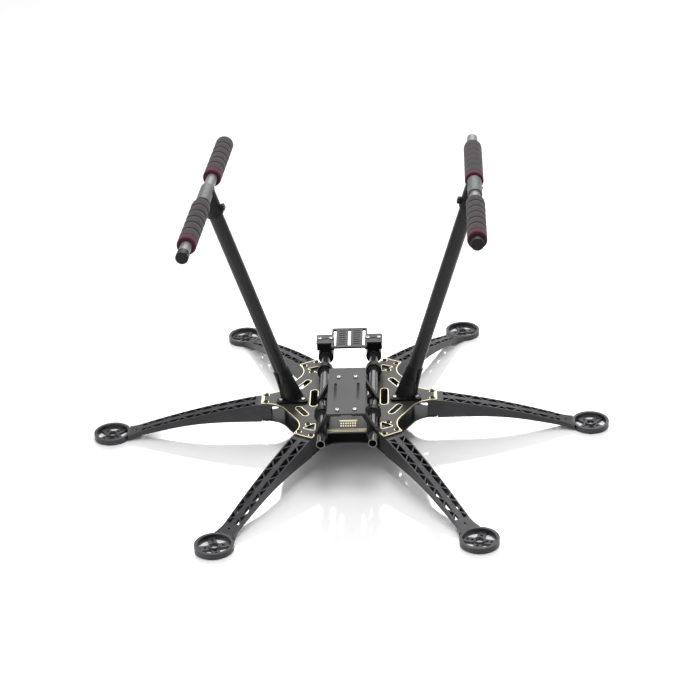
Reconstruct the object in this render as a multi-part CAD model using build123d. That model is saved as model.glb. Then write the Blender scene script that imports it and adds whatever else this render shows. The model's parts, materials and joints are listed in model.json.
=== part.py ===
from build123d import *
import math
import os

# Hexacopter frame with landing gear, standing upside down on its motor rings.
# Origin: hub centre on the floor. +X across the skids, +Y along them, +Z up.
# All sizes are in millimetres and all angles in degrees.

# Main layout
motor_circle = 275.0      # hub centre to each motor centre
board_top = 45.0          # upper face of the power board above the floor
deck_top = 24.0           # upper face of the deck plate
board_thick = 2.0
deck_thick = 1.6

# Plate outline, the same for the power board and the deck
lobe_reach = 100.0        # hub centre to the end of a lobe
lobe_width = 24.0
side_flat = 75.3          # hub centre to the plate edge between side lobes
front_flat = 80.0
rear_flat = 70.0
deck_flat = 66.0          # the deck is cut back further at the front and rear
notch_round = 28.0        # at the root of the side notches
end_notch_round = 5.0     # at the front and rear edges
lobe_corner_round = 2.0

# Windows in the plates
long_window = (38.0, 8.0)
long_window_y = -1.5
rail_to_window = 12.0     # rail axis to the long window's axis
slant_window = (23.0, 6.4)
slant_window_at = (52.5, 31.5)
slant_turn = 60.0
corner_window = ((37.0, 59.5), (50.0, 69.5), (37.0, 75.5))
corner_window_round = 1.2
deck_window = (40.0, 5.0)
deck_window_x = 22.0

# Arms
arm_root = 71.0           # hub centre to the arm's inner end
arm_width = 23.0          # at the root
neck_width = 17.6         # just before the motor ring
neck_length = 35.0        # motor centre to where the neck starts to flare
seat_margin = 4.0         # flat seat beyond the lobe end
arm_wall = 2.4
arm_arch = 3.4            # rise of the upper edge above a straight line
rib_height = 21.2         # highest point of the arm's lower edge, past the deck
deck_end_gap = 0.3        # deck lobe to the arm's step
edge_rail = 1.5           # beside the lattice
spine_width = 5.8
lattice_margin = 3.0      # from the seat to the first bar
lattice_count = 7         # two triangles each
lattice_bar = 1.6
flare_angle = 125.0       # where the neck meets the ring, round the ring

# Motor rings
ring_radius = 21.0
ring_wall = 3.2
ring_height = 6.5
mount_web = 3.0           # motor plate inside the ring
cross_bar = 8.5
cross_hub = 7.0
shaft_hole = 9.0
shaft_collar = (1.6, 1.2)  # wall and height above the web
motor_hole = 3.2
motor_pcds = (16.0, 25.0)  # on one bar of the cross
cross_pcd = 19.0           # on the other bar
neck_hole = 2.4
neck_hole_gap = 7.0        # ring to neck hole

# Screws
screw_shank = 2.9
screw_head = 4.8
head_height = 1.8
small_shank = 1.9
small_head = 3.6
nut_radius = 3.1          # over the corners
nut_height = 2.4
screw_gap = 0.15          # radial, shank to plate hole
thread_gap = 0.03         # radial, shank to boss, and bonded tubes
seat_gap = 0.4            # radial, round a screw head
arm_screw_length = 10.0
boss_radius = 3.6
boss_length = 9.6
socket_boss_length = 5.0
arm_screw_radius = 94.5   # outer screw pair of each arm
arm_screw_offset = 8.0
inner_screw_radius = 75.5

# Rails and what slides on them
rail_radius = 5.0
rail_wall = 1.0
rail_spread = 28.0        # hub centre to each rail axis
rail_height = 13.0        # rail axis above the board
rail_front = -129.0
rail_rear = 91.0
running_gap = 0.08        # radial, between parts that slide
bush_wall = 2.0
hanger_wall = 1.9         # round the bush
hanger_length = 8.0
hanger_foot = 14.0
foot_thick = 5.0
hanger_stations = {"front": -62.0, "rear": 40.0}
hanger_tip_gap = 0.92      # hanger screw's tip to the bush

# Battery tray
tray_width = 41.5
tray_front = -114.0
tray_rear = -10.0
tray_thick = 2.0
tray_lift = 27.0          # underside of the tray above the rail axis
tray_corner = 1.5
clip_stations = {"front": -106.0, "rear": -32.0}
clip_length = 8.0
clip_wall = 1.9           # round the rail
clip_arm = 4.4
clip_pad = 3.4            # under the tray
tray_screw_x = 9.4
tray_screw_length = 5.0
strap_slot = (39.0, 3.0)
strap_slot_x = 12.5
strap_slot_y = -64.5

# Camera plate
camera_width = 41.5
camera_front = 59.0
camera_rear = 108.0
camera_thick = 2.0
camera_lift = 18.0        # underside of the plate above the rail axis
camera_corner = 2.5
ear_reach = 38.5
ear_front = 70.0
ear_rear = 92.0
ear_slot = (7.0, 2.0)
clamp_length = 16.0
clamp_head = 20.0
clamp_head_height = 9.0
clamp_screw_spread = 6.5  # each side of the rail axis
clamp_screw_length = 7.0
long_slot = (41.0, 3.2)
long_slot_x = 17.0
louvre_slot = (8.0, 1.6)
louvre_count = 7
louvre_pitch = 5.6

# Landing gear
leg_radius = 8.0
leg_wall = 1.0
leg_base = 64.5           # hub centre to the leg axis at the board
leg_tilt = 17.4           # outward from vertical
leg_length = 267.2        # board to skid axis along the leg
leg_seat = 5.0            # leg end above the board along the leg
socket_bolts = ((-12.5, -9.0), (12.5, -9.0), (0.0, 14.0))  # outward and back from the leg base
socket_lug = 5.2          # flange radius round a bolt
socket_flange = 2.6
socket_wall = 1.3         # at the mouth
socket_waist = 1.2        # how much wider the waist is than the mouth
socket_flare = (3.8, 3.0)  # how much wider the foot is, in X and Y
socket_reach = 38.0       # along the leg
socket_bolt_length = 9.5
set_screw_height = 27.0   # along the leg
set_screw_length = 2.6
sleeve_wall = 1.5
sleeve_length = 27.0
barrel_wall = 1.75
barrel_span = (-28.0, 10.0)  # along the skid from the leg axis
leg_to_barrel = 1.2
tee_ear = (3.6, 6.0, 6.5)  # beyond the sleeve, along the skid and along the leg
tee_ear_drop = 21.0        # below the skid axis
skid_radius = 6.0
skid_wall = 1.0
cap_lip = 0.7             # cap beyond the tube's radius
cap_length = 10.0
plug_length = 2.0
stem_length = 8.0         # of a plug inside the tube
grip_wall = 4.2
band_length = 10.0
band_chamfer = 1.2
grip_nose = 7.0           # rounding of a closed grip end
grip_cover = 4.0          # foam over a tube end
grip_taper = (5.6, 3.0)   # chamfer of an open grip end, along and across

# Each side's skid: toe angle, tube ends, and the near and far grip's ends
skids = {
    "left": {"side": -1, "toe": -4.1, "tube": (-151.5, 131.0),
             "near": (-133.5, -29.5), "far": (39.0, 142.0), "closed": True},
    "right": {"side": 1, "toe": -1.4, "tube": (-148.0, 141.0),
              "near": (-147.5, -43.0), "far": (12.0, 120.0), "closed": False},
}

# Derived places
board_under = board_top - board_thick
deck_under = deck_top - deck_thick
seat_end = lobe_reach + seat_margin
arm_tip = motor_circle - ring_radius + ring_wall * 0.6
neck_start = motor_circle - neck_length
lattice_start = seat_end + lattice_margin
lattice_pitch = (neck_start - lattice_start) / lattice_count
ring_inner = ring_radius - ring_wall
rail_z = board_top + rail_height
tray_under = rail_z + tray_lift
camera_under = rail_z + camera_lift
ear_middle = (ear_front + ear_rear) / 2
shank_radius = screw_shank / 2
head_radius = screw_head / 2
plate_hole = shank_radius + screw_gap
boss_hole = shank_radius + thread_gap
rail_bore = rail_radius + running_gap
bush_radius = rail_bore + bush_wall
hanger_ring = bush_radius + hanger_wall
hanger_screw_length = board_thick + rail_height - bush_radius - hanger_tip_gap
clip_ring = rail_bore + clip_wall
leg_bore = leg_radius + running_gap
socket_mouth = leg_bore + socket_wall
sleeve_radius = leg_radius + thread_gap + sleeve_wall
skid_bore = skid_radius + running_gap
barrel_radius = skid_bore + barrel_wall
leg_stop = barrel_radius + leg_to_barrel
grip_radius = skid_radius + grip_wall
tee_screw_x = sleeve_radius + tee_ear[0] / 2
arm_names = ("right", "rear_right", "rear_left", "left", "front_left", "front_right")
sides = {"left": -1, "right": 1}

os.makedirs("parts", exist_ok=True)


def save(name, shape):
    export_step(shape, f"parts/{name}.step")


def tube(outer, inner, length):
    return Cylinder(outer, length) - Cylinder(inner, length + 1)


def polar(radius, offset, angle):
    """A point given by its distance along an arm and its offset across it."""
    turn = math.radians(angle)
    x = radius * math.cos(turn) - offset * math.sin(turn)
    y = radius * math.sin(turn) + offset * math.cos(turn)
    return x, y


def bar(start, end, width):
    """A straight flat bar between two points of a sketch."""
    angle = math.degrees(math.atan2(end[1] - start[1], end[0] - start[0]))
    place = Pos((start[0] + end[0]) / 2, (start[1] + end[1]) / 2)
    return place * Rectangle(math.dist(start, end), width, rotation=angle)


def pan_screw(length, shank=screw_shank, head=screw_head):
    """A screw with its head above z = 0 and its shank below."""
    body = Pos(0, 0, head_height / 2) * Cylinder(head / 2, head_height)
    body = fillet(body.edges().group_by(Axis.Z)[-1], head_height * 0.45)
    body += Pos(0, 0, -length / 2) * Cylinder(shank / 2, length)
    return body - Pos(0, 0, head_height) * Cylinder(head * 0.23, head_height)


def screws_at(points, z, length, upright=True):
    turn = Rot(0, 0, 0) if upright else Rot(180, 0, 0)
    return Compound([Pos(x, y, z) * turn * pan_screw(length) for x, y in points])


def holes_at(points, radius, z, depth):
    return [Pos(x, y, z) * Cylinder(radius, depth) for x, y in points]


# Screw places

def arm_screw_spots(angle):
    """Distances along and across an arm. Inner ones face the side notches."""
    spots = [(arm_screw_radius, arm_screw_offset), (arm_screw_radius, -arm_screw_offset)]
    side = {60: -1, 120: 1, 240: -1, 300: 1}.get(angle, 0)
    if side:
        spots.append((inner_screw_radius, side * arm_screw_offset))
    return spots


arm_screw_points = [polar(radius, offset, 60 * i)
                    for i in range(6) for radius, offset in arm_screw_spots(60 * i)]
hanger_points = [(side * rail_spread, y)
                 for side in sides.values() for y in hanger_stations.values()]
tray_screw_points = [(side * tray_screw_x, y)
                     for side in sides.values() for y in clip_stations.values()]
camera_screw_points = [(side * (rail_spread + turn * clamp_screw_spread), ear_middle)
                       for side in sides.values() for turn in (-1, 1)]
socket_bolt_points = [(side * (leg_base + out), back)
                      for side in sides.values() for out, back in socket_bolts]
nut_points = [(x, y) for x, y in socket_bolt_points if abs(x) < arm_root]


# Plates

def plate_outline(front, rear, end_round):
    """Six lobes joined by rounded notches, with other depths at the front and rear."""
    flats = {30: side_flat, 90: rear, 150: side_flat, 210: side_flat, 270: front, 330: side_flat}
    half = lobe_width / 2
    corners = []
    radii = []
    for lobe in range(0, 360, 60):
        for side, notch in ((-1, (lobe - 30) % 360), (1, (lobe + 30) % 360)):
            root = (flats[notch] - half * 0.5) / math.cos(math.radians(30))
            room = (lobe_reach - root) / math.tan(math.radians(30)) * 0.8
            rounding = end_round if notch in (90, 270) else notch_round
            pair = [(polar(root, side * half, lobe), min(rounding, room)),
                    (polar(lobe_reach, side * half, lobe), lobe_corner_round)]
            pair = pair if side < 0 else pair[::-1]
            corners += [point for point, _ in pair]
            radii += [radius for _, radius in pair]
    return make_face(FilletPolyline(*corners, radius=radii, close=True))


def board_windows():
    """Long slots, slanted slots and triangular windows of the power board."""
    windows = []
    for side in (-1, 1):
        long_place = Pos(side * (rail_spread + rail_to_window), long_window_y)
        windows.append(long_place * SlotOverall(*long_window, rotation=90))
        for end in (-1, 1):
            place = Pos(side * slant_window_at[0], end * slant_window_at[1])
            windows.append(place * SlotOverall(*slant_window, rotation=-slant_turn * side * end))
            corners = Polygon(*[(side * x, end * y) for x, y in corner_window], align=None)
            windows.append(fillet(corners.vertices(), corner_window_round))
    return windows


def plate(outline, thick, top, holes):
    return Pos(0, 0, top - thick) * extrude(outline, thick) - holes


def power_board():
    points = arm_screw_points + hanger_points + socket_bolt_points
    holes = holes_at(points, plate_hole, board_top, board_thick * 4)
    outline = plate_outline(front_flat, rear_flat, end_notch_round) - board_windows()
    return plate(outline, board_thick, board_top, holes)


def deck():
    holes = holes_at(arm_screw_points, plate_hole, deck_top, deck_thick * 4)
    slots = [Pos(side * deck_window_x, 0) * SlotOverall(*deck_window, rotation=90) for side in (-1, 1)]
    outline = plate_outline(deck_flat, deck_flat, notch_round) - slots
    return plate(outline, deck_thick, deck_top, holes)


# Arm

def along_arm(share):
    """Distance from the hub, from 0 at the end of the seat to 1 at the ring."""
    return seat_end + (arm_tip - seat_end) * share


def arm_profile():
    """Side view of the arm from root to ring, in X and Z."""
    tip_top = ring_height - 0.5
    tip_under = mount_web / 2
    step = lobe_reach + deck_end_gap
    chord_middle = (board_under + tip_top) / 2
    lower = Spline((arm_tip, tip_under), (along_arm(0.8), rib_height * 0.43),
                   (along_arm(0.47), rib_height * 0.88), (along_arm(0.14), rib_height), (step, rib_height))
    outline = [
        Line((arm_root, deck_top), (arm_root, board_under)),
        Line((arm_root, board_under), (seat_end, board_under)),
        ThreePointArc((seat_end, board_under), (along_arm(0.5), chord_middle + arm_arch),
                      (arm_tip, tip_top)),
        Line((arm_tip, tip_top), (arm_tip, tip_under)),
        lower,
        Line((step, rib_height), (step, deck_top)),
        Line((step, deck_top), (arm_root, deck_top)),
    ]
    return Plane.XZ * make_face(outline)


def arm_plan():
    """Top view of the arm: a gentle taper, then a flare into the ring."""
    root = arm_width / 2
    neck = neck_width / 2
    flare = math.radians(flare_angle)
    tip_x = motor_circle + ring_radius * math.cos(flare)
    tip_y = ring_radius * math.sin(flare)
    middle_x = neck_start + (tip_x - neck_start) * 0.58
    middle_y = neck + (tip_y - neck) * 0.3
    outline = []
    for side in (1, -1):
        outline += [
            Line((arm_root, side * root), (seat_end, side * root)),
            Line((seat_end, side * root), (neck_start, side * neck)),
            ThreePointArc((neck_start, side * neck), (middle_x, side * middle_y),
                          (tip_x, side * tip_y)),
            Line((tip_x, side * tip_y), (motor_circle, 0)),
        ]
    outline.append(Line((arm_root, root), (arm_root, -root)))
    return make_face(outline)


def half_width(x):
    """Half the arm's width along the lattice."""
    share = (x - seat_end) / (neck_start - seat_end)
    return (arm_width + (neck_width - arm_width) * share) / 2


def lattice_windows():
    """Triangles between the spine and the edge rails, left by zigzag bars."""
    inner = spine_width / 2
    corners = [(lattice_start, inner), (neck_start, inner), (neck_start, half_width(neck_start) - edge_rail),
               (lattice_start, half_width(lattice_start) - edge_rail)]
    band = Polygon(*corners, align=None)
    bars = []
    for i in range(lattice_count):
        x = lattice_start + i * lattice_pitch
        valley = (x + lattice_pitch / 2, inner - lattice_bar / 2)
        for peak in ((x, arm_width / 2), (x + lattice_pitch, arm_width / 2)):
            bars.append(bar(peak, valley, lattice_bar))
    windows = band - bars
    return [windows, mirror(windows, Plane.XZ)]


def root_window():
    """Side opening from the deck up to a thin strap under the board, in X and Z."""
    below = deck_top - boss_radius
    lintel = board_under - arm_wall
    outer = arm_screw_radius - boss_radius - 1.5
    corners = [(arm_root + 3, below), (outer, below), (outer, lintel), (arm_root + 8, lintel),
               (arm_root + 3, lintel - 3)]
    return Plane.XZ * fillet(Polygon(*corners, align=None).vertices(), 1.5)


def arm_hollows():
    """Root box open to the hub, side window and the groove under the spine."""
    profile = arm_profile()
    core = extrude(Pos(0, 0, arm_wall) * profile & Pos(0, 0, -arm_wall) * profile,
                   arm_width / 2 - arm_wall, both=True)
    root_end = seat_end + arm_wall
    root_box = core & Pos((root_end + arm_root) / 2 - arm_wall, 0, 0) * Box(
        root_end - arm_root + arm_wall, arm_width, board_top * 4)
    under = extrude(Pos(0, 0, -arm_wall) * profile, arm_width, both=True)
    length = neck_start - lattice_start
    groove_width = (spine_width - arm_wall) / 2
    grooves = []
    for side in (-1, 1):
        groove = Pos(lattice_start + length / 2, side * (arm_wall + groove_width) / 2, 0)
        grooves.append(under & groove * Box(length, groove_width, board_top * 4))
    return [root_box, extrude(root_window(), arm_width, both=True)] + grooves


def motor_ring():
    """Ring with a recessed cross plate, at the motor centre."""
    ring = Pos(0, 0, ring_height / 2) * tube(ring_radius, ring_inner, ring_height)
    web = Pos(0, 0, mount_web / 2) * Cylinder(ring_inner + ring_wall * 0.2, mount_web)
    gap = Circle(ring_inner - 0.8) - Circle(cross_hub)
    bars = [Rectangle(ring_radius * 2, cross_bar, rotation=turn) for turn in (45, -45)]
    web -= extrude(gap - bars, mount_web * 2, both=True)
    collar_wall, collar_height = shaft_collar
    collar_top = mount_web + collar_height
    web += Pos(0, 0, collar_top / 2) * Cylinder(shaft_hole / 2 + collar_wall, collar_top)
    return ring + web


def motor_holes():
    spots = []
    for pcd in motor_pcds:
        spots += [polar(side * pcd / 2, 0, 45) for side in (-1, 1)]
    spots += [polar(side * cross_pcd / 2, 0, -45) for side in (-1, 1)]
    holes = holes_at(spots, motor_hole / 2, 0, mount_web * 4)
    return holes + [Cylinder(shaft_hole / 2, ring_height * 4)]


def socket_bolt_spots(angle):
    """Where the leg sockets' outer bolts screw into the side arms' feet."""
    if angle % 180:
        return []
    outer = [(leg_base + out, back) for out, back in socket_bolts if leg_base + out > arm_root]
    return [(x, y if angle == 0 else -y) for x, y in outer]


def arm(angle):
    body = extrude(arm_profile(), arm_width, both=True)
    body &= extrude(arm_plan(), board_top)
    body -= arm_hollows()
    body -= [extrude(window, board_top) for window in lattice_windows()]
    body -= Pos(motor_circle, 0, 0) * Cylinder(ring_inner, board_top * 2)
    body += Pos(motor_circle, 0, 0) * motor_ring()
    body -= [Pos(motor_circle, 0, 0) * hole for hole in motor_holes()]
    neck_hole_x = motor_circle - ring_radius - neck_hole_gap
    body -= Pos(neck_hole_x, 0, 0) * Cylinder(neck_hole / 2, board_top * 2)
    bosses = [(spot, face, turn, boss_length) for spot in arm_screw_spots(angle)
              for face, turn in ((board_under, -1), (deck_top, 1))]
    bosses += [(spot, board_under, -1, socket_boss_length) for spot in socket_bolt_spots(angle)]
    for (radius, offset), face, turn, length in bosses:
        middle = face + turn * length / 2
        boss = Pos(radius, offset, middle) * Cylinder(boss_radius, length)
        body += boss & Pos(radius, 0, middle) * Box(boss_radius * 4, arm_width, length)
    for (radius, offset), face, turn, _ in bosses:
        depth = arm_screw_length - board_thick + 1
        body -= Pos(radius, offset, face + turn * depth / 2) * Cylinder(boss_hole, depth)
    return Rot(0, 0, angle) * body


# Hangers and rails

def ring_hanger(length, foot_width, foot_height, drop):
    """A ring round a rail with a foot below it, the rail axis at the origin."""
    ring = Rot(90, 0, 0) * Cylinder(hanger_ring, length)
    foot = Pos(0, 0, -drop + foot_height / 2) * Box(foot_width, length, foot_height)
    foot = fillet(foot.edges().filter_by(Axis.Y).group_by(Axis.Z)[0], 0.6)
    neck = Pos(0, 0, -drop / 2) * Box(hanger_ring * 1.5, length, drop)
    bore = Rot(90, 0, 0) * Cylinder(bush_radius, length * 2)
    return ring + foot + neck - bore


def hanger():
    """Screwed to the board from below."""
    hole = Cylinder(boss_hole, 2 * (hanger_screw_length - board_thick))
    return ring_hanger(hanger_length, hanger_foot, foot_thick, rail_height) - Pos(0, 0, -rail_height) * hole


def bush(length):
    return Rot(90, 0, 0) * tube(bush_radius, rail_bore, length)


def rail():
    return Rot(90, 0, 0) * tube(rail_radius, rail_radius - rail_wall, rail_rear - rail_front)


# Battery tray

def tray():
    length = tray_rear - tray_front
    sketch = Pos(0, (tray_rear + tray_front) / 2) * RectangleRounded(tray_width, length, tray_corner)
    sketch -= [Pos(side * strap_slot_x, strap_slot_y) * SlotOverall(*strap_slot, rotation=90)
               for side in (-1, 1)]
    body = Pos(0, 0, tray_under) * extrude(sketch, tray_thick)
    return body - holes_at(tray_screw_points, plate_hole, tray_under, tray_thick * 4)


def tray_clip(side):
    """Rail ring, steep arm and pad under the tray, the rail axis at the origin."""
    screw_x = tray_screw_x - rail_spread
    tray_edge = tray_width / 2 - rail_spread
    pad_start = screw_x - boss_radius
    pad_middle = (pad_start + tray_edge) / 2
    pad = Pos(pad_middle, tray_lift - clip_pad / 2) * Rectangle(tray_edge - pad_start, clip_pad)
    foot = (clip_arm / 4, rail_bore + clip_wall / 2)
    head = (tray_edge - clip_arm / 2, tray_lift - clip_pad / 2)
    sketch = Circle(clip_ring) + bar(foot, head, clip_arm) + pad
    body = extrude(Plane.XZ * (sketch - Circle(rail_bore)), clip_length / 2, both=True)
    body -= Pos(screw_x, 0, tray_lift) * Cylinder(boss_hole, 20)
    return body if side > 0 else mirror(body, Plane.YZ)


# Camera plate

def camera_plate():
    middle = (camera_rear + camera_front) / 2
    sketch = Pos(0, middle) * RectangleRounded(camera_width, camera_rear - camera_front, camera_corner)
    sketch += Pos(0, ear_middle) * RectangleRounded(ear_reach * 2, ear_rear - ear_front, camera_corner)
    cuts = [Pos(x, middle) * SlotOverall(*long_slot, rotation=90) for x in (-long_slot_x, 0, long_slot_x)]
    for side in (-1, 1):
        for i in range(louvre_count):
            y = middle + (i - (louvre_count - 1) / 2) * louvre_pitch
            cuts.append(Pos(side * long_slot_x / 2, y) * SlotOverall(*louvre_slot))
        cuts.append(Pos(side * rail_spread, ear_middle) * SlotOverall(*ear_slot))
    body = Pos(0, 0, camera_under) * extrude(sketch - cuts, camera_thick)
    return body - holes_at(camera_screw_points, plate_hole, camera_under, camera_thick * 4)


def camera_clamp():
    """The same ring with its wide head above, under the plate's ear."""
    body = Rot(180, 0, 0) * ring_hanger(clamp_length, clamp_head, clamp_head_height, camera_lift)
    depth = 2 * (clamp_screw_length - camera_thick) + 1
    for side in (-1, 1):
        body -= Pos(side * clamp_screw_spread, 0, camera_lift) * Cylinder(boss_hole, depth)
    return body


# Landing gear

def leg_place(side):
    """Frame at the board with Z along the leg, tilted outward."""
    return Pos(side * leg_base, 0, board_top) * Rot(0, side * leg_tilt, 0)


def skid_place(skid):
    """Frame at the tee with Y along the skid, toed about the leg axis."""
    return leg_place(skid["side"]) * Pos(0, 0, leg_length) * Rot(0, 0, skid["toe"])


def leg_socket(side):
    """Three-bolt flange that flares out of a sleeve for the leg."""
    lugs = [Pos(side * out, back) * Circle(socket_lug) for out, back in socket_bolts]
    outline = make_hull([edge for lug in lugs for edge in lug.edges()])
    flange = Pos(side * leg_base, 0, board_top) * extrude(outline, socket_flange)
    place = leg_place(side)
    foot = Pos(side * leg_base, 0, board_top) * Ellipse(
        socket_mouth + socket_flare[0], socket_mouth + socket_flare[1])
    waist = place * Pos(0, 0, socket_reach * 0.45) * Circle(socket_mouth + socket_waist)
    mouth = place * Pos(0, 0, socket_reach) * Circle(socket_mouth)
    body = flange + loft([foot, waist, mouth])
    body -= place * Pos(0, 0, leg_seat + leg_length / 2) * Cylinder(leg_bore, leg_length)
    for out, back in socket_bolts:
        spot = Pos(side * (leg_base + out), back, board_top)
        body -= spot * Cylinder(plate_hole, socket_flange * 4)
        seat = Cylinder(head_radius + seat_gap, socket_reach, align=(Align.CENTER, Align.CENTER, Align.MIN))
        body -= spot * Pos(0, 0, socket_flange) * seat
    screw_hole = Rot(90, 0, 0) * Cylinder(boss_hole, leg_radius)
    return body - place * Pos(0, -socket_mouth, set_screw_height) * screw_hole


def set_screw(side):
    place = leg_place(side) * Pos(0, -leg_radius - seat_gap, set_screw_height) * Rot(90, 0, 0)
    body = Pos(0, 0, set_screw_length / 2) * Cylinder(shank_radius, set_screw_length)
    return place * (body - Pos(0, 0, set_screw_length) * Cylinder(shank_radius * 0.55, set_screw_length))


def nut():
    """A hexagon nut hanging below z = 0."""
    return extrude(RegularPolygon(nut_radius, 6), -nut_height) - Cylinder(boss_hole, nut_height * 4)


def leg(side):
    length = leg_length - leg_seat - leg_stop
    return leg_place(side) * Pos(0, 0, leg_seat + length / 2) * tube(
        leg_radius, leg_radius - leg_wall, length)


def tee(skid):
    """Leg sleeve with clamp ears and a saddle for the skid barrel."""
    body = Pos(0, 0, -sleeve_length / 2) * Cylinder(sleeve_radius, sleeve_length)
    reach, depth, height = tee_ear
    ears = Pos(0, 0, -tee_ear_drop) * Box((sleeve_radius + reach) * 2, depth, height)
    body += fillet(ears.edges().filter_by(Axis.Y), 1.5)
    body -= Rot(90, 0, 0) * Cylinder(barrel_radius + thread_gap, sleeve_radius * 3)
    body -= Pos(0, 0, -leg_stop - sleeve_length) * Cylinder(leg_radius + thread_gap, sleeve_length * 2)
    for side in (-1, 1):
        hole = Rot(90, 0, 0) * Cylinder(small_shank / 2 + thread_gap, depth * 2)
        body -= Pos(side * tee_screw_x, 0, -tee_ear_drop) * hole
    return skid_place(skid) * body


def tee_barrel(skid):
    start, end = barrel_span
    place = skid_place(skid) * Pos(0, (start + end) / 2, 0) * Rot(90, 0, 0)
    body = tube(barrel_radius, skid_bore, end - start)
    rims = body.edges().filter_by(GeomType.CIRCLE).filter_by(lambda edge: edge.radius > skid_bore + 0.1)
    return place * chamfer(rims, 0.5)


def tee_screws(skid):
    """Clamp screws with their heads on the front faces of the ears."""
    screws = []
    for side in (-1, 1):
        spot = Pos(side * tee_screw_x, -tee_ear[1] / 2, -tee_ear_drop) * Rot(90, 0, 0)
        screws.append(skid_place(skid) * spot * pan_screw(tee_ear[1], small_shank, small_head))
    return Compound(screws)


def skid_tube(skid):
    start, end = skid["tube"]
    place = skid_place(skid) * Pos(0, (start + end) / 2, 0) * Rot(90, 0, 0)
    return place * tube(skid_radius, skid_radius - skid_wall, end - start)


def end_plug(skid, end, outward, head_radius, head_length):
    """A plug pushed into a tube end, with a round head outside."""
    stem_radius = skid_radius - skid_wall - thread_gap
    stem = Pos(0, end - outward * stem_length / 2, 0) * Rot(90, 0, 0) * Cylinder(stem_radius, stem_length)
    cap = Pos(0, end + outward * head_length / 2, 0) * Rot(90, 0, 0) * Cylinder(head_radius, head_length)
    outer = cap.edges().group_by(Axis.Y)[-1 if outward > 0 else 0]
    return skid_place(skid) * (stem + fillet(outer, 0.8))


def grip(skid, span, closed):
    """Foam sleeve behind its end band, open or closed at the far end."""
    start = span[0] + band_length
    length = span[1] - start
    body = Pos(0, start + length / 2, 0) * Rot(90, 0, 0) * Cylinder(grip_radius, length)
    far = body.edges().group_by(Axis.Y)[-1]
    body = fillet(far, grip_nose) if closed else chamfer(far, *grip_taper)
    depth = length - grip_cover if closed else length * 2
    bore = Pos(0, start + depth / 2, 0) * Rot(90, 0, 0) * Cylinder(skid_bore, depth)
    return skid_place(skid) * (body - bore)


def grip_band(skid, span):
    place = skid_place(skid) * Pos(0, span[0] + band_length / 2, 0) * Rot(90, 0, 0)
    body = tube(grip_radius, skid_bore, band_length)
    near = body.edges().filter_by(GeomType.CIRCLE).sort_by(Axis.Z)[-2:]
    return place * chamfer(near.sort_by(SortBy.RADIUS)[-1:], band_chamfer)


# Build and save every piece

save("power_board", power_board())
save("deck_plate", deck())
for i, name in enumerate(arm_names):
    save(f"arm_{name}", arm(60 * i))
save("board_screws", screws_at(arm_screw_points, board_top, arm_screw_length))
save("deck_screws", screws_at(arm_screw_points, deck_under, arm_screw_length, upright=False))

for side_name, side in sides.items():
    for station, y in hanger_stations.items():
        place = Pos(side * rail_spread, y, rail_z)
        save(f"hanger_{station}_{side_name}", place * hanger())
        save(f"hanger_bush_{station}_{side_name}", place * bush(hanger_length))
    for station, y in clip_stations.items():
        save(f"tray_clip_{station}_{side_name}", Pos(side * rail_spread, y, rail_z) * tray_clip(side))
    save(f"rail_{side_name}", Pos(side * rail_spread, (rail_front + rail_rear) / 2, rail_z) * rail())
    clamp_spot = Pos(side * rail_spread, ear_middle, rail_z)
    save(f"camera_clamp_{side_name}", clamp_spot * camera_clamp())
    save(f"camera_bush_{side_name}", clamp_spot * bush(clamp_length))
save("hanger_screws", screws_at(hanger_points, board_under, hanger_screw_length, upright=False))
save("battery_tray", tray())
save("tray_screws", screws_at(tray_screw_points, tray_under + tray_thick, tray_screw_length))
save("camera_plate", camera_plate())
save("camera_screws", screws_at(camera_screw_points, camera_under + camera_thick, clamp_screw_length))

for side_name, side in sides.items():
    save(f"leg_socket_{side_name}", leg_socket(side))
    save(f"leg_tube_{side_name}", leg(side))
save("socket_bolts", screws_at(socket_bolt_points, board_top + socket_flange, socket_bolt_length))
save("socket_nuts", Compound([Pos(x, y, board_under) * nut() for x, y in nut_points]))
save("socket_set_screws", Compound([set_screw(side) for side in sides.values()]))

for side_name, skid in skids.items():
    save(f"tee_{side_name}", tee(skid))
    save(f"tee_barrel_{side_name}", tee_barrel(skid))
    save(f"tee_screws_{side_name}", tee_screws(skid))
    save(f"skid_tube_{side_name}", skid_tube(skid))
    save(f"skid_cap_{side_name}", end_plug(skid, skid["tube"][0], -1, skid_radius + cap_lip, cap_length))
    save(f"grip_near_{side_name}", grip(skid, skid["near"], False))
    save(f"grip_far_{side_name}", grip(skid, skid["far"], skid["closed"]))
    save(f"grip_band_near_{side_name}", grip_band(skid, skid["near"]))
    save(f"grip_band_far_{side_name}", grip_band(skid, skid["far"]))
right = skids["right"]
save("skid_plug_right", end_plug(right, right["tube"][1], 1, skid_radius, plug_length))
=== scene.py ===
import json
import math

import bmesh
import bpy
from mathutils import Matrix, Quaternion, Vector, noise


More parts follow.
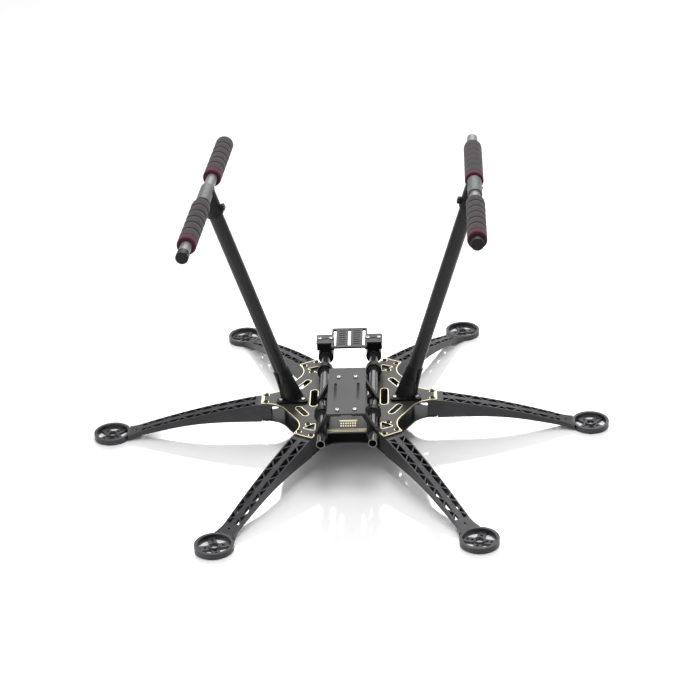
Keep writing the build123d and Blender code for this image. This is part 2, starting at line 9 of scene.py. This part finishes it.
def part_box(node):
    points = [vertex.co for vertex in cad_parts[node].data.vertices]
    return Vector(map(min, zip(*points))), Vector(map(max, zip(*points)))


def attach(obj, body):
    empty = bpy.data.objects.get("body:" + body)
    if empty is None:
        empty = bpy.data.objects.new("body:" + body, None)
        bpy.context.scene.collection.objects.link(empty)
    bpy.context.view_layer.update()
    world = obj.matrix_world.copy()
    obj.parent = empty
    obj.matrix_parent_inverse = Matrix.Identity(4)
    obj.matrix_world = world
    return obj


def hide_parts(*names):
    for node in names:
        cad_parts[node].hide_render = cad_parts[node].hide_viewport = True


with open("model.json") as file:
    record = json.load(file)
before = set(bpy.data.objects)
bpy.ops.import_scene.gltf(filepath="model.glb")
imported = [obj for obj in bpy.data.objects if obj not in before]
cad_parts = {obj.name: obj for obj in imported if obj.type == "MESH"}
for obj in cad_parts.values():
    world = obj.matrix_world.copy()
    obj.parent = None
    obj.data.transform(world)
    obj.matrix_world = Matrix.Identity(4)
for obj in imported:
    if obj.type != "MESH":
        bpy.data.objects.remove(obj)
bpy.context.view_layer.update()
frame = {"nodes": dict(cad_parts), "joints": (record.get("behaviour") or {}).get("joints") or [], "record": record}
nodes = frame["nodes"]
joints = {joint["name"]: joint for joint in frame["joints"]}
print("frame loaded with", len(nodes), "nodes")

mm = 0.001
weld = 0.001 * mm  # closer vertices are merged


# Shader helpers

class Wire:  # a node output that takes plain arithmetic
    def __init__(self, shade, socket):
        self.shade = shade
        self.socket = socket

    def calc(self, operation, *values):
        return self.shade.node("ShaderNodeMath", {"operation": operation}, dict(enumerate(values)))

    def __add__(self, other):
        return self.calc("ADD", self, other)

    def __radd__(self, other):
        return self.calc("ADD", other, self)

    def __sub__(self, other):
        return self.calc("SUBTRACT", self, other)

    def __rsub__(self, other):
        return self.calc("SUBTRACT", other, self)

    def __mul__(self, other):
        return self.calc("MULTIPLY", self, other)

    def __rmul__(self, other):
        return self.calc("MULTIPLY", other, self)

    def __lt__(self, other):
        return self.calc("LESS_THAN", self, other)

    def fn(self, operation, *others):  # such as ABSOLUTE, SINE, FRACT or MAXIMUM
        return self.calc(operation, self, *others)

    def smooth(self, low, high):  # 0 below low, 1 above high
        settings = {"interpolation_type": "SMOOTHSTEP"}
        return self.shade.node("ShaderNodeMapRange", settings,
                               {"Value": self, "From Min": low, "From Max": high})


class Shade:  # one material and its nodes
    def __init__(self, name):
        self.material = bpy.data.materials.new(name)
        self.material.use_nodes = True
        self.tree = self.material.node_tree
        self.tree.nodes.clear()
        self.shader = self.tree.nodes.new("ShaderNodeBsdfPrincipled")
        ending = self.tree.nodes.new("ShaderNodeOutputMaterial")
        self.tree.links.new(self.shader.outputs[0], ending.inputs[0])
        self.place = self.node("ShaderNodeTexCoord", {}, {}, "Object")

    def node(self, kind, settings, values, output=0):
        made = self.tree.nodes.new(kind)
        for key, value in settings.items():
            setattr(made, key, value)
        for key, value in values.items():
            self.put(made.inputs[key], value)
        return Wire(self, made.outputs[output])

    def put(self, socket, value):
        if isinstance(value, Wire):
            self.tree.links.new(value.socket, socket)
        else:
            socket.default_value = value

    def set(self, **values):  # baseColor= sets the Base Color socket, and so on
        names = {"baseColor": "Base Color", "coatWeight": "Coat Weight", "roughness": "Roughness",
                 "coatRoughness": "Coat Roughness", "metallic": "Metallic", "normal": "Normal",
                 "specular": "Specular IOR Level", "sheenWeight": "Sheen Weight",
                 "sheenRoughness": "Sheen Roughness"}
        for key, value in values.items():
            self.put(self.shader.inputs[names[key]], value)
        return self.material

    def noise(self, scale, detail=3.0, vector=None):
        return self.node("ShaderNodeTexNoise", {}, {
            "Vector": vector or self.place, "Scale": scale, "Detail": detail, "Roughness": 0.55}, "Fac")

    def cells(self, scale, feature="F1", output="Distance"):
        return self.node("ShaderNodeTexVoronoi", {"feature": feature}, {
            "Vector": self.place, "Scale": scale}, output)

    def mix(self, share, first, second):
        settings = {"data_type": "RGBA"}
        full = [value if isinstance(value, Wire) else (*value, 1) for value in (first, second)]
        return self.node("ShaderNodeMix", settings, {0: share, 6: full[0], 7: full[1]}, 2)

    def stretched(self, scale):
        return self.node("ShaderNodeMapping", {}, {"Vector": self.place, "Scale": scale})

    def split(self, vector=None):
        made = self.tree.nodes.new("ShaderNodeSeparateXYZ")
        self.put(made.inputs[0], vector or self.place)
        return [Wire(self, output) for output in made.outputs]

    def faceUp(self):  # 1 on faces that look up, 0 on the sides
        made = self.tree.nodes.new("ShaderNodeNewGeometry")
        return self.split(Wire(self, made.outputs["Normal"]))[2]

    def bump(self, height, strength, distance):
        values = {"Height": height, "Strength": strength, "Distance": distance}
        return self.node("ShaderNodeBump", {}, values)


# Materials

armNylon = {"base": (0.010, 0.0095, 0.012), "worn": (0.032, 0.031, 0.036), "roughness": 0.36,
            "grain": 2600, "specular": 0.42}


def makeArmNylon():
    shade = Shade("armNylon")
    cloud = shade.noise(26, 4)
    fine = shade.noise(armNylon["grain"], 2)
    streak = shade.noise(90, 3, vector=shade.stretched((1, 1, 6)))
    wear = (cloud * 0.6 + streak * 0.4).smooth(0.35, 0.75)
    color = shade.mix(wear, armNylon["base"], armNylon["worn"])
    rough = armNylon["roughness"] + (cloud - 0.5) * 0.22 + (fine - 0.5) * 0.10
    height = fine * 0.6 + streak * 0.4
    return shade.set(baseColor=color, roughness=rough, specular=armNylon["specular"],
                     normal=shade.bump(height, 0.35, 0.0002))


blackNylon = {"base": (0.004, 0.004, 0.005), "worn": (0.012, 0.012, 0.013), "roughness": 0.34,
              "grain": 3200, "specular": 0.22}


def makeBlackNylon():
    shade = Shade("blackNylon")
    cloud = shade.noise(60, 4)
    fine = shade.noise(blackNylon["grain"], 2)
    color = shade.mix(cloud.smooth(0.4, 0.8), blackNylon["base"], blackNylon["worn"])
    rough = blackNylon["roughness"] + (cloud - 0.5) * 0.2 + (fine - 0.5) * 0.12
    return shade.set(baseColor=color, roughness=rough, specular=blackNylon["specular"],
                     normal=shade.bump(fine, 0.3, 0.00015))


circuitBoard = {"mask": (0.0110, 0.0098, 0.0070), "copper": (0.0215, 0.0192, 0.0138),
                "edge": (0.055, 0.048, 0.028), "roughness": 0.34, "coat": 0.08, "specular": 0.36}


def makeCircuitBoard():
    shade = Shade("circuitBoard")
    x, y = shade.split()[:2]
    pour = shade.cells(34, "SMOOTH_F1", output="Color")
    lanes = (x * 260).fn("FRACT") < 0.12
    cloud = shade.noise(18, 3)
    weave = (x * 5200).fn("SINE") * (y * 5200).fn("SINE")
    copper = shade.split(pour)[0].smooth(0.45, 0.52)
    top = shade.faceUp().fn("ABSOLUTE").smooth(0.5, 0.6)
    mask = shade.mix(copper * 0.7 + cloud * 0.3, circuitBoard["mask"], circuitBoard["copper"])
    color = shade.mix(top, circuitBoard["edge"], mask)
    rough = circuitBoard["roughness"] + (cloud - 0.5) * 0.16 + copper * 0.03
    height = copper * 0.7 + weave * 0.06 + lanes * copper * 0.05
    return shade.set(baseColor=color, roughness=rough, specular=circuitBoard["specular"],
                     normal=shade.bump(height, 0.3, 0.0001), coatWeight=circuitBoard["coat"])


laminateFinish = {
    "deckLaminate": {"base": (0.008, 0.008, 0.009), "worn": (0.020, 0.020, 0.021), "roughness": 0.36},
    "greyLaminate": {"base": (0.029, 0.029, 0.030), "worn": (0.045, 0.045, 0.046), "roughness": 0.40},
}


def makeLaminate(name):
    finish = laminateFinish[name]
    base = finish["base"]
    shade = Shade(name)
    x, y, z = shade.split()
    weaveX = (x * 3600).fn("SINE")
    weaveY = (y * 3600).fn("SINE")
    weave = (weaveX * weaveY) * 0.5 + 0.5
    cloud = shade.noise(22, 4)
    layers = (z * 16000).fn("SINE") * 0.5 + 0.5
    top = shade.faceUp().fn("ABSOLUTE").smooth(0.5, 0.6)
    face = shade.mix(cloud * 0.55 + weave * 0.25, base, finish["worn"])
    edge = shade.mix(layers * 0.5, tuple(part * 0.3 for part in base), base)
    color = shade.mix(top, edge, face)
    rough = finish["roughness"] + (cloud - 0.5) * 0.2 + weave * 0.05
    return shade.set(baseColor=color, roughness=rough, specular=0.36,
                     normal=shade.bump(weave, 0.12, 0.00006))


tubeFinish = {
    "carbonTube": {"base": (0.003, 0.003, 0.0035), "fibre": (0.013, 0.013, 0.015), "roughness": 0.28,
                   "coat": 0.0, "metallic": 0.0, "specular": 0.34},
    "railTube": {"base": (0.010, 0.010, 0.011), "fibre": (0.030, 0.030, 0.032), "roughness": 0.20,
                 "coat": 0.45, "metallic": 0.0, "specular": 0.5},
    "skidTube": {"base": (0.17, 0.168, 0.166), "fibre": (0.25, 0.248, 0.244), "roughness": 0.36,
                 "coat": 0.0, "metallic": 0.6, "specular": 0.5},
    "cutRim": (0.11, 0.11, 0.108),
}


def makeTube(name, point, axis, rimAt=None):  # fibres run along the tube, and the cut end is brighter
    finish = tubeFinish[name]
    shade = Shade(name)
    place = shade.node("ShaderNodeMapping", {"vector_type": "TEXTURE"}, {
        "Vector": shade.place, "Location": point, "Rotation": Vector((0, 0, 1)).rotation_difference(
            Vector(axis)).to_euler()})
    x, y, z = shade.split(place)
    around = y.fn("ARCTAN2", x)
    twist = (around * 14 + z * 900).fn("SINE") * (around * 14 - z * 900).fn("SINE")
    along = shade.noise(420, 3, vector=shade.node("ShaderNodeCombineXYZ", {}, {0: x, 1: y, 2: z * 0.03}))
    cloud = shade.noise(30, 3)
    color = shade.mix(along * 0.7 + twist * 0.12, finish["base"], finish["fibre"])
    if rimAt is not None:
        color = shade.mix(z.smooth(rimAt - 0.4 * mm, rimAt), color, tubeFinish["cutRim"])
    rough = finish["roughness"] + (cloud - 0.5) * 0.18 + (along - 0.5) * 0.16
    return shade.set(baseColor=color, roughness=rough, metallic=finish["metallic"],
                     coatWeight=finish["coat"], coatRoughness=0.12, specular=finish["specular"],
                     normal=shade.bump(along * 0.7 + twist * 0.2, 0.2, 0.0001))


foamFinish = {
    "foam": {"base": (0.016, 0.0138, 0.0146), "light": (0.036, 0.0285, 0.0305)},
    "maroonFoam": {"base": (0.030, 0.0026, 0.008), "light": (0.074, 0.006, 0.020)},
}


def makeFoam(name):
    base = foamFinish[name]["base"]
    shade = Shade(name)
    pores = shade.cells(1500)
    large = shade.cells(520)
    # painted shade: the middle of each foam pore is darkened where the bump sinks it
    poreShade = pores.smooth(0.0, 0.35) * -0.45 + 0.45
    cloud = shade.noise(70, 4)
    fine = shade.noise(2400, 3)
    color = shade.mix(cloud * 0.5 + fine * 0.5, base, foamFinish[name]["light"])
    # painted shade in the pores, down to about a third of the foam's own colour
    color = shade.mix(poreShade, color, tuple(part * 0.35 for part in base))
    height = pores * 0.6 + large * 0.25 + fine * 0.3
    return shade.set(baseColor=color, roughness=0.86 + (fine - 0.5) * 0.15, specular=0.25,
                     sheenWeight=0.08, sheenRoughness=0.6, normal=shade.bump(height, 0.55, 0.0004))


metalFinish = {
    "brightSteel": {"base": (0.66, 0.66, 0.65), "roughness": 0.30, "metallic": 1.0},
    "greyAlloy": {"base": (0.115, 0.117, 0.118), "roughness": 0.44, "metallic": 0.4},
    "blackSteel": {"base": (0.010, 0.010, 0.011), "roughness": 0.34, "metallic": 0.5},
}


def makeMetal(name):
    finish = metalFinish[name]
    base = finish["base"]
    shade = Shade(name)
    cloud = shade.noise(500, 3)
    fine = shade.noise(5200, 2)
    color = shade.mix(cloud.smooth(0.3, 0.8), base, tuple(part * 0.6 for part in base))
    rough = finish["roughness"] + (cloud - 0.5) * 0.2 + (fine - 0.5) * 0.1
    return shade.set(baseColor=color, roughness=rough, metallic=finish["metallic"],
                     normal=shade.bump(fine, 0.15, 0.00008))


goldPlate = {"base": (0.80, 0.70, 0.44), "worn": (0.86, 0.82, 0.66), "roughness": 0.34, "metallic": 0.75}


def makeGold():
    shade = Shade("goldPlate")
    cloud = shade.noise(140, 4)
    fine = shade.noise(2600, 2)
    color = shade.mix(cloud.smooth(0.3, 0.75), goldPlate["base"], goldPlate["worn"])
    rough = goldPlate["roughness"] + (cloud - 0.5) * 0.2
    return shade.set(baseColor=color, roughness=rough, metallic=goldPlate["metallic"],
                     normal=shade.bump(fine + cloud, 0.25, 0.0001))


bushRubber = {"base": (0.012, 0.012, 0.013), "worn": (0.03, 0.03, 0.03), "roughness": 0.75}


def makeRubber():
    shade = Shade("bushRubber")
    fine = shade.noise(2200, 3)
    color = shade.mix(fine, bushRubber["base"], bushRubber["worn"])
    return shade.set(baseColor=color, roughness=bushRubber["roughness"] + (fine - 0.5) * 0.2,
                     normal=shade.bump(fine, 0.4, 0.0002))


def middleOf(node):
    low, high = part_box(node)
    return (low + high) / 2


def paint(material, *names):
    for name in names:
        mesh = nodes[name].data
        mesh.materials.clear()
        mesh.materials.append(material)


slotNodes = {}
for part in frame["record"]["subparts"]:
    slotNodes.setdefault(part["material_slot"], []).append(part["node"])

paint(makeArmNylon(), *slotNodes["arm_nylon"])
paint(makeBlackNylon(), *slotNodes["black_nylon"])
paint(makeCircuitBoard(), "power_board")
paint(makeLaminate("deckLaminate"), "deck_plate")
paint(makeLaminate("greyLaminate"), *slotNodes["grey_laminate"])
paint(makeMetal("brightSteel"), *slotNodes["bright_steel"])
paint(makeMetal("greyAlloy"), *slotNodes["grey_alloy"])
paint(makeMetal("blackSteel"), *slotNodes["black_steel"])
paint(makeRubber(), *slotNodes["bush_rubber"])
for side in ("left", "right"):
    legAxis = joints[f"leg_{side}_turn"]["axis"]
    skidAxis = joints[f"skid_{side}_slide"]["axis"]
    railMiddle = middleOf(f"rail_{side}")
    railHalf = railMiddle.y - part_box(f"rail_{side}")[0].y
    paint(makeTube("carbonTube", joints[f"leg_{side}_turn"]["pos_m"], legAxis), f"leg_tube_{side}")
    paint(makeTube("skidTube", middleOf(f"skid_tube_{side}"), skidAxis), f"skid_tube_{side}")
    paint(makeTube("railTube", railMiddle, (0, -1, 0), railHalf), f"rail_{side}")
print("materials made")


# Piece helpers

def addPiece(name, build, material, body):
    mesh = bpy.data.meshes.new(name)
    bmesh.ops.recalc_face_normals(build, faces=build.faces)
    build.to_mesh(mesh)
    build.free()
    mesh.materials.append(material)
    piece = bpy.data.objects.new(name, mesh)
    bpy.context.scene.collection.objects.link(piece)
    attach(piece, body)
    return piece


def smoothFaces(build, angle=0.6):
    for face in build.faces:
        face.smooth = True
    for edge in build.edges:
        edge.smooth = len(edge.link_faces) < 2 or edge.calc_face_angle() < angle


def axisSpan(node, point, axis):  # how far a node reaches along an axis, and its radius about it
    places = [vertex.co - Vector(point) for vertex in nodes[node].data.vertices]
    along = [place.dot(axis) for place in places]
    radius = max((place - axis * reach).length for place, reach in zip(places, along))
    return min(along), max(along), radius


def spinAbout(profile, point, axis):  # turns a closed profile of (radius, along) points into a ring
    build = bmesh.new()
    across = axis.orthogonal().normalized()
    start = Vector(point)
    ring = [build.verts.new(start + across * radius + axis * along) for radius, along in profile]
    edges = [build.edges.new((first, second)) for first, second in zip(ring, ring[1:] + ring[:1])]
    bmesh.ops.spin(build, geom=ring + edges, cent=start, axis=axis, angle=math.tau,
                   steps=gripShape["facets"], use_merge=True)
    bmesh.ops.remove_doubles(build, verts=build.verts, dist=weld)
    return build


# Foam grips

gripShape = {"grooves": 6, "grooveDepth": 1.1 * mm, "grooveWidth": 1.5 * mm, "crown": 0.45 * mm,
             "farRightDepth": 0.35 * mm, "unevenness": 0.12 * mm, "boreGap": 0.15 * mm,
             "bandGroove": 0.5 * mm, "roundNose": 7 * mm, "cutNose": 5.6 * mm, "noseSteps": 8,
             "noseFloor": 4 * mm, "facets": 96, "waves": 90}


def sleeveProfile(start, end, radius, bore, depth, closed):  # from the band to the far end
    nose = gripShape["roundNose"] if closed else gripShape["cutNose"]
    noseSteps = gripShape["noseSteps"]
    pitch = (end - nose - start) / gripShape["grooves"]
    half = gripShape["grooveWidth"] / 2
    points = [(bore, start), (radius - 0.6 * mm, start), (radius - 0.1 * mm, start + 0.5 * mm)]
    for i in range(1, gripShape["grooves"] + 1):
        groove = start + i * pitch
        crown = radius - gripShape["crown"] * 0.2
        points.append((crown, groove - pitch * 0.7))
        points.append((radius, groove - pitch * 0.4))
        points.append((radius - gripShape["crown"], groove - half * 1.8))
        if i < gripShape["grooves"]:
            points.append((radius - depth, groove - half * 0.5))
            points.append((radius - depth, groove + half * 0.2))
            points.append((radius - gripShape["crown"] * 0.5, groove + half * 1.2))
    if closed:
        for i in range(1, noseSteps + 1):
            turn = math.radians(90 * i / noseSteps)
            inward = nose * math.cos(turn) if i < noseSteps else 0
            points.append((radius - nose + inward, end - nose + nose * math.sin(turn)))
        inside = end - gripShape["noseFloor"]
        points += [(0.4 * mm, end), (0.4 * mm, inside), (bore, inside)]
    else:
        points += [(radius - 3 * mm, end - 0.6 * mm), (radius - 3.4 * mm, end), (bore, end)]
    return points


def bandProfile(start, end, radius, bore):
    return [(bore, start + 0.8 * mm), (bore + 0.8 * mm, start), (radius - 1.4 * mm, start),
            (radius - 0.3 * mm, start + 0.7 * mm), (radius - 0.05 * mm, start + 2 * mm),
            (radius - 0.1 * mm, end - 1.6 * mm), (radius - gripShape["bandGroove"], end - 0.8 * mm),
            (radius - 0.3 * mm, end), (bore, end)]


def roughen(build, seed):  # slow waves, as in hand-cut foam
    for vertex in build.verts:
        wave = noise.noise(vertex.co * gripShape["waves"] + Vector((seed, 0, 0)))
        vertex.co += vertex.normal * wave * gripShape["unevenness"]


foam = makeFoam("foam")
maroonFoam = makeFoam("maroonFoam")
for seed, (end, side) in enumerate((end, side) for end in ("near", "far") for side in ("left", "right")):
    axis = Vector(joints[f"skid_{side}_slide"]["axis"])
    center = middleOf(f"skid_tube_{side}")
    gripLow, gripHigh, gripRadius = axisSpan(f"grip_{end}_{side}", center, axis)
    bandLow, bandHigh, bandRadius = axisSpan(f"grip_band_{end}_{side}", center, axis)
    tubeRadius = axisSpan(f"skid_tube_{side}", center, axis)[2]
    bore = tubeRadius + gripShape["boreGap"]
    closed = (end, side) == ("far", "left")
    depth = gripShape["farRightDepth"] if (end, side) == ("far", "right") else gripShape["grooveDepth"]
    build = spinAbout(sleeveProfile(gripLow, gripHigh, gripRadius, bore, depth, closed), center, axis)
    build.normal_update()
    roughen(build, seed * 7.0)
    smoothFaces(build)
    sleeve = addPiece(f"foamSleeve_{end}_{side}", build, foam, f"grip_{end}_{side}")
    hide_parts(f"grip_{end}_{side}")
    build = spinAbout(bandProfile(bandLow, bandHigh, bandRadius, bore), center, axis)
    smoothFaces(build)
    band = addPiece(f"foamBand_{end}_{side}", build, maroonFoam, f"grip_{end}_{side}")
    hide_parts(f"grip_band_{end}_{side}")
print("grips made")


# Gold trim on the circuit board

gold = makeGold()
trimShape = {"width": 0.9 * mm, "height": 0.12 * mm, "sink": 0.02 * mm}


def boardTop():  # the upper face of the power board as a flat sheet
    build = bmesh.new()
    build.from_mesh(nodes["power_board"].data)
    bmesh.ops.remove_doubles(build, verts=build.verts, dist=weld)
    under = max(vertex.co.z for vertex in build.verts) - 10 * weld
    lower = [face for face in build.faces if face.normal.z < 0.9 or face.calc_center_median().z < under]
    bmesh.ops.delete(build, geom=lower, context="FACES")
    bmesh.ops.dissolve_limit(build, angle_limit=0.001, verts=build.verts, edges=build.edges,
                             use_dissolve_boundaries=False)
    return build


def makeTrim():
    build = boardTop()
    bmesh.ops.triangulate(build, faces=build.faces)
    inner = list(build.faces)
    made = bmesh.ops.inset_region(build, faces=inner, thickness=trimShape["width"], use_even_offset=True,
                                  use_boundary=True)
    rim = set(made["faces"])
    bmesh.ops.delete(build, geom=[face for face in build.faces if face not in rim], context="FACES")
    raised = bmesh.ops.extrude_face_region(build, geom=build.faces[:])
    tops = [item for item in raised["geom"] if isinstance(item, bmesh.types.BMVert)]
    bmesh.ops.translate(build, verts=tops, vec=(0, 0, trimShape["height"]))
    for vertex in build.verts:
        vertex.co.z -= trimShape["sink"]
    return build


padShape = {
    "height": 0.10 * mm, "bevel": 0.04 * mm, "ringWidth": 1.0 * mm, "ringFacets": 32,
    "frontHalf": 30 * mm,  # the board's front edge is read between these
    "edgeRows": ((3.2, 50, 1.6), (6.08, 48, 0.7)),  # from the front edge, width and depth in mm
    "bars": 7, "barPitch": 2.6 * mm, "barWidth": 1.5 * mm,
    "barRows": ((13, 3.6), (18.5, 3.0)),  # from the front edge, depth
    "ruleRows": ((22.5, 1.0, 0.8), (25, 1.1, 1.6)),  # from the front edge, share of the bank, depth
    "sidePads": ((25, 2, 2.4, 20), (21.5, 2, 1.2, 18)),  # x, y, width, depth
    "lobePads": ((97.6, 0, 2.2, 19),),
}


def addPad(build, x, y, width, depth):  # a thin plated rectangle on the board's face
    made = bmesh.ops.create_cube(build, size=1)["verts"]
    bmesh.ops.scale(build, vec=(width, depth, padShape["height"]), verts=made)
    middle = boardHigh + padShape["height"] / 2 - trimShape["sink"]
    bmesh.ops.translate(build, verts=made, vec=(x, y, middle))


def addEyelet(build, x, y, radius):  # a plated ring round a hole, as a spun strip
    low = boardHigh - trimShape["sink"]
    high = low + padShape["height"]
    wide = radius + padShape["ringWidth"]
    corners = [(radius, low), (wide, low), (wide, high), (radius, high)]
    ring = [build.verts.new((x + reach, y, up)) for reach, up in corners]
    edges = [build.edges.new(pair) for pair in zip(ring, ring[1:] + ring[:1])]
    bmesh.ops.spin(build, geom=ring + edges, cent=(x, y, low), axis=(0, 0, 1), angle=math.tau,
                   steps=padShape["ringFacets"], use_merge=True)


def screwSpots(node):  # the middle of each separate screw in a node, seen from above
    build = bmesh.new()
    build.from_mesh(nodes[node].data)
    bmesh.ops.remove_doubles(build, verts=build.verts, dist=weld)
    spots = []
    left = set(build.verts)
    while left:
        island = {left.pop()}
        front = set(island)
        while front:
            front = {link.other_vert(vertex) for vertex in front for link in vertex.link_edges} - island
            island |= front
        left -= island
        xs = [vertex.co.x for vertex in island]
        ys = [vertex.co.y for vertex in island]
        spots.append(((min(xs) + max(xs)) / 2, (min(ys) + max(ys)) / 2, (max(xs) - min(xs)) / 2))
    build.free()
    return spots


def makePads():
    build = bmesh.new()
    places = [vertex.co for vertex in nodes["power_board"].data.vertices]
    front = min(place.y for place in places if abs(place.x) < padShape["frontHalf"])
    for reach, width, depth in padShape["edgeRows"]:
        addPad(build, 0, front + reach * mm, width * mm, depth * mm)
    for i in range(padShape["bars"]):  # a bank of terminals in the middle of the front edge
        x = (i - (padShape["bars"] - 1) / 2) * padShape["barPitch"]
        for reach, depth in padShape["barRows"]:
            addPad(build, x, front + reach * mm, padShape["barWidth"], depth * mm)
    bankWidth = padShape["barPitch"] * padShape["bars"]
    for reach, share, depth in padShape["ruleRows"]:
        addPad(build, 0, front + reach * mm, bankWidth * share, depth * mm)
    for group in ("sidePads", "lobePads"):
        for side in (-1, 1):
            for x, y, width, depth in padShape[group]:
                addPad(build, side * x * mm, y * mm, width * mm, depth * mm)
    for x, y, radius in screwSpots("board_screws"):
        addEyelet(build, x, y, radius)
    bmesh.ops.recalc_face_normals(build, faces=build.faces)
    upper = [edge for edge in build.edges if len(edge.link_faces) == 2 and edge.calc_face_angle() > 0.8
             and min(vertex.co.z for vertex in edge.verts) > boardHigh]
    bmesh.ops.bevel(build, geom=upper, offset=padShape["bevel"], segments=1, profile=0.5, affect="EDGES",
                    material=-1)
    return build


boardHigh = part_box("power_board")[1].z
addPiece("goldTrim", makeTrim(), gold, "frame")
addPiece("goldPads", makePads(), gold, "frame")
print("trim made")


# Stage, light and camera

studio = {"floorSize": 6.0, "world": 0.72, "floorRoughness": 0.07, "floorMetallic": 0.32}
lamps = {
    "keyLight": {"at": (0.25, 0.15, 2.2), "aim": (0, 0, 0.05), "size": 1.3, "power": 46.0},
    "fillLight": {"at": (-1.6, -1.2, 1.4), "aim": (0, 0, 0.1), "size": 1.6, "power": 10.0},
    "backLight": {"at": (0.2, 1.8, 1.6), "aim": (0, 0, 0.15), "size": 1.6, "power": 16.0},
}


def makeFloor():
    shade = Shade("paleFloor")
    cloud = shade.noise(1.5, 2)
    color = shade.mix(cloud, (0.90, 0.90, 0.90), (0.94, 0.94, 0.94))
    material = shade.set(baseColor=color, roughness=studio["floorRoughness"],
                         metallic=studio["floorMetallic"])
    mesh = bpy.data.meshes.new("floor")
    made = bmesh.new()
    bmesh.ops.create_grid(made, x_segments=1, y_segments=1, size=studio["floorSize"])
    made.to_mesh(mesh)
    made.free()
    floor = bpy.data.objects.new("floor", mesh)
    mesh.materials.append(material)
    bpy.context.scene.collection.objects.link(floor)


def makeLight(name):
    values = lamps[name]
    lamp = bpy.data.lights.new(name, "AREA")
    lamp.shape = "SQUARE"
    lamp.size = values["size"]
    lamp.energy = values["power"]
    holder = bpy.data.objects.new(name, lamp)
    holder.location = values["at"]
    shine = Vector(values["aim"]) - Vector(values["at"])
    holder.rotation_euler = shine.to_track_quat("-Z", "Y").to_euler()
    bpy.context.scene.collection.objects.link(holder)


cameraView = {"azimuth": 2.16, "elevation": 27.46, "roll": -2.47, "distance": 2.2687,
              "lens": 94.13, "target": (-0.0038, 0.1859, 0.008)}


def makeCamera():
    turn = math.radians(cameraView["azimuth"])
    rise = math.radians(cameraView["elevation"])
    back = Vector((math.sin(turn) * math.cos(rise), -math.cos(turn) * math.cos(rise), math.sin(rise)))
    data = bpy.data.cameras.new("camera")
    data.lens = cameraView["lens"]
    camera = bpy.data.objects.new("camera", data)
    camera.location = Vector(cameraView["target"]) + back * cameraView["distance"]
    camera.rotation_mode = "QUATERNION"
    roll = Quaternion((0, 0, 1), math.radians(cameraView["roll"]))
    camera.rotation_quaternion = (-back).to_track_quat("-Z", "Y") @ roll
    bpy.context.scene.collection.objects.link(camera)
    bpy.context.scene.camera = camera


makeFloor()
for lampName in lamps:
    makeLight(lampName)
world = bpy.data.worlds.new("studio")
world.use_nodes = True
sky = world.node_tree.nodes["Background"]
sky.inputs[0].default_value = (1, 1, 1, 1)
sky.inputs[1].default_value = studio["world"]
bpy.context.scene.world = world
bpy.context.scene.view_settings.view_transform = "Standard"
makeCamera()
print("stage ready")
